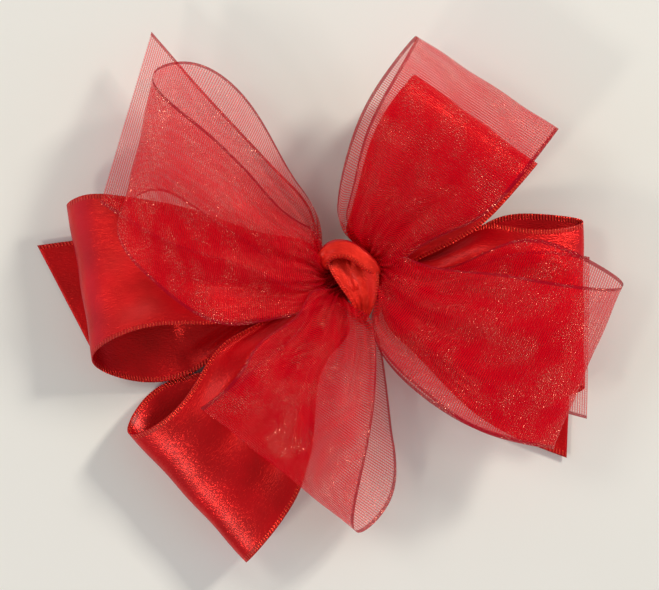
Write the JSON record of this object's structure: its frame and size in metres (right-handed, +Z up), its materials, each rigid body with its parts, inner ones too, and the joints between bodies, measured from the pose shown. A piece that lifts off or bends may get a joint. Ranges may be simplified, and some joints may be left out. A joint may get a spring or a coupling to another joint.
{
  "type": "pre-made gift bow",
  "caption": "Double-layer gift bow: sheer organza loops and tails over satin ones, pinched by a wire, dressed with a knotted satin strip, with a sticky foam pad on its back.",
  "frame": {"origin": "centre of the liner's back face, under the knot, where the bow meets the gift", "axes": "+Z up through the knot, away from the gift; +Y up the bow's face; +X to the right as one faces it"},
  "size_m": [0.1255, 0.1147, 0.0262],
  "materials": {
    "satin": "red polyester satin ribbon with woven selvedges",
    "organza": "sheer red nylon organza ribbon",
    "knot_satin": "narrow red satin ribbon",
    "wire": "soft galvanised binding wire",
    "glue": "hot-melt glue",
    "foam": "white closed-cell foam tape",
    "liner_paper": "waxed release paper"
  },
  "bodies": {
    "centre": {"satin_waist": "satin", "organza_waist": "organza", "binding_wire": "wire", "strip_upper_half": "knot_satin", "strip_lower_half": "knot_satin", "knot": "knot_satin", "glue_dab": "glue", "foam_pad": "foam", "liner": "liner_paper"},
    "left_loops": {"satin_loop_left": "satin", "organza_tail_left": "organza", "organza_loop_upper_left": "organza"},
    "lower_left_loops": {"satin_loop_lower_left": "satin", "organza_loop_bottom": "organza"},
    "upper_right_loops": {"satin_loop_upper_right": "satin", "organza_loop_upper_right": "organza"},
    "right_loops": {"satin_loop_right": "satin", "organza_tail_right": "organza", "organza_loop_right": "organza"},
    "left_tail": {"satin_tail_left": "satin"},
    "right_tail": {"satin_tail_right": "satin"}
  },
  "joints": [
    {"name": "left_loops_lift", "type": "hinge", "parent": "centre", "child": "left_loops", "pos_m": [-0.005, 0, 0.0085], "axis": [0.2588, 0.9659, 0], "range_deg": [0, 10], "stiffness_Nm_per_rad": 0.02},
    {"name": "lower_left_loops_lift", "type": "hinge", "parent": "centre", "child": "lower_left_loops", "pos_m": [-0.0028, -0.0042, 0.0085], "axis": [-0.891, 0.454, 0], "range_deg": [0, 10], "stiffness_Nm_per_rad": 0.02},
    {"name": "upper_right_loops_lift", "type": "hinge", "parent": "centre", "child": "upper_right_loops", "pos_m": [0.0028, 0.0042, 0.0085], "axis": [0.7986, -0.6018, 0], "range_deg": [0, 10], "stiffness_Nm_per_rad": 0.02},
    {"name": "right_loops_lift", "type": "hinge", "parent": "centre", "child": "right_loops", "pos_m": [0.005, 0, 0.0085], "axis": [-0.309, -0.9511, 0], "range_deg": [0, 10], "stiffness_Nm_per_rad": 0.02},
    {"name": "left_tail_swing", "type": "hinge", "parent": "centre", "child": "left_tail", "pos_m": [-0.0038, -0.0021, 0.0034], "axis": [0, 0, 1], "range_deg": [-6, 6], "stiffness_Nm_per_rad": 0.005},
    {"name": "right_tail_swing", "type": "hinge", "parent": "centre", "child": "right_tail", "pos_m": [0.0038, 0.0021, 0.0034], "axis": [0, 0, 1], "range_deg": [-6, 6], "stiffness_Nm_per_rad": 0.005}
  ]
}
